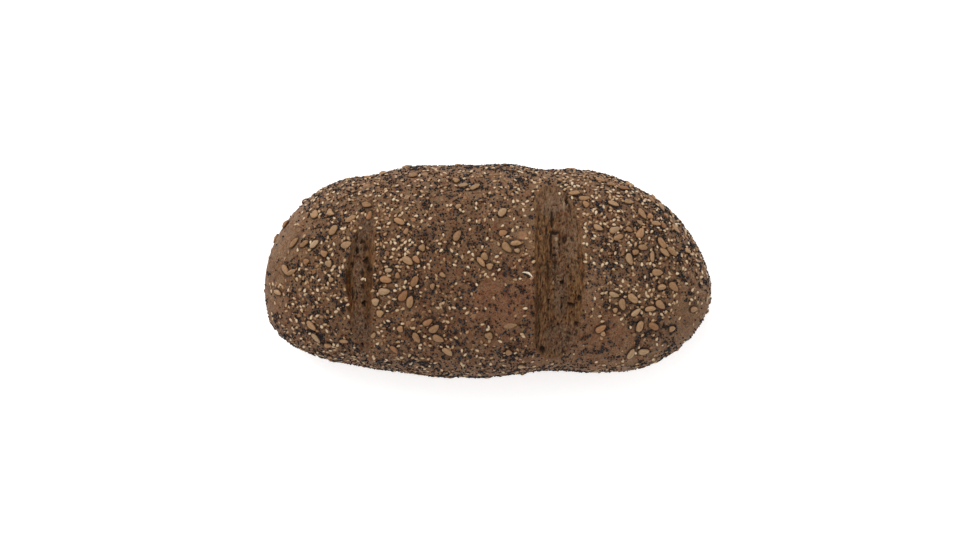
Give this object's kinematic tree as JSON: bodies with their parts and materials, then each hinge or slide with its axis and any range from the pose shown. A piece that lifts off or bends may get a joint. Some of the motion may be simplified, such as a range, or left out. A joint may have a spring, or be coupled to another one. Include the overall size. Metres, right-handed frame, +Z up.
{
  "type": "seeded oval loaf",
  "caption": "Long oval dark loaf with a flat base, two open crosswise cuts and a crust set with sunflower kernels, sesame and poppy seeds.",
  "frame": {"origin": "on the flat base, under the middle of the loaf's outline", "axes": "+X along the loaf towards its pointed end, the wide cut's end; +Y across it; +Z up from the base"},
  "size_m": [0.308, 0.1479, 0.0941],
  "materials": {
    "crust": "dull dark brown baked crust, set with toasted seeds"
  },
  "bodies": {
    "root": {"loaf": "crust"}
  },
  "joints": []
}
